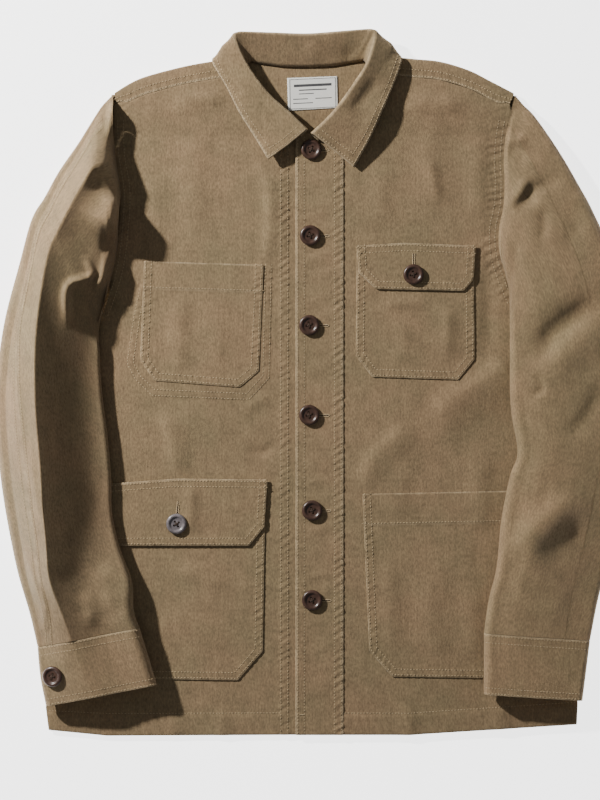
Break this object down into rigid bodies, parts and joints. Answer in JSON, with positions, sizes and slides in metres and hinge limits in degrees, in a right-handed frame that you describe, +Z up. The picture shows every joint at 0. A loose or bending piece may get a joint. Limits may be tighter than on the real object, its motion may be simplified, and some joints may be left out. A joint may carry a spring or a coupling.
{
  "type": "chore jacket",
  "caption": "Button-front work jacket of heavy cotton twill, laid flat on its back, with a spread collar, patch pockets, buttoned flaps and cuffs.",
  "frame": {"origin": "centre of the jacket's footprint, on the surface that it lies on", "axes": "+X towards the wearer's left arm, +Y towards the collar, +Z up off the surface, out of the fronts"},
  "size_m": [0.6666, 0.7388, 0.0501],
  "materials": {
    "khaki_twill": "washed matte twill",
    "label_white": "smooth woven label",
    "button_brown": "polished resin"
  },
  "bodies": {
    "root": {"back": "khaki_twill", "front_right": "khaki_twill", "front_left": "khaki_twill", "placket_left": "khaki_twill", "collar": "khaki_twill", "sleeve_right_upper": "khaki_twill", "sleeve_right_under": "khaki_twill", "sleeve_left_upper": "khaki_twill", "sleeve_left_under": "khaki_twill", "cuff_right": "khaki_twill", "cuff_left": "khaki_twill", "chest_pocket_right": "khaki_twill", "chest_pocket_left": "khaki_twill", "chest_flap_left": "khaki_twill", "hip_pocket_right": "khaki_twill", "hip_flap_right": "khaki_twill", "hip_pocket_left": "khaki_twill", "neck_label": "label_white", "front_button_1": "button_brown", "front_button_2": "button_brown", "front_button_3": "button_brown", "front_button_4": "button_brown", "front_button_5": "button_brown", "front_button_6": "button_brown", "chest_flap_button": "button_brown", "hip_flap_button": "button_brown", "cuff_right_button": "button_brown", "cuff_left_button": "button_brown"}
  },
  "joints": []
}
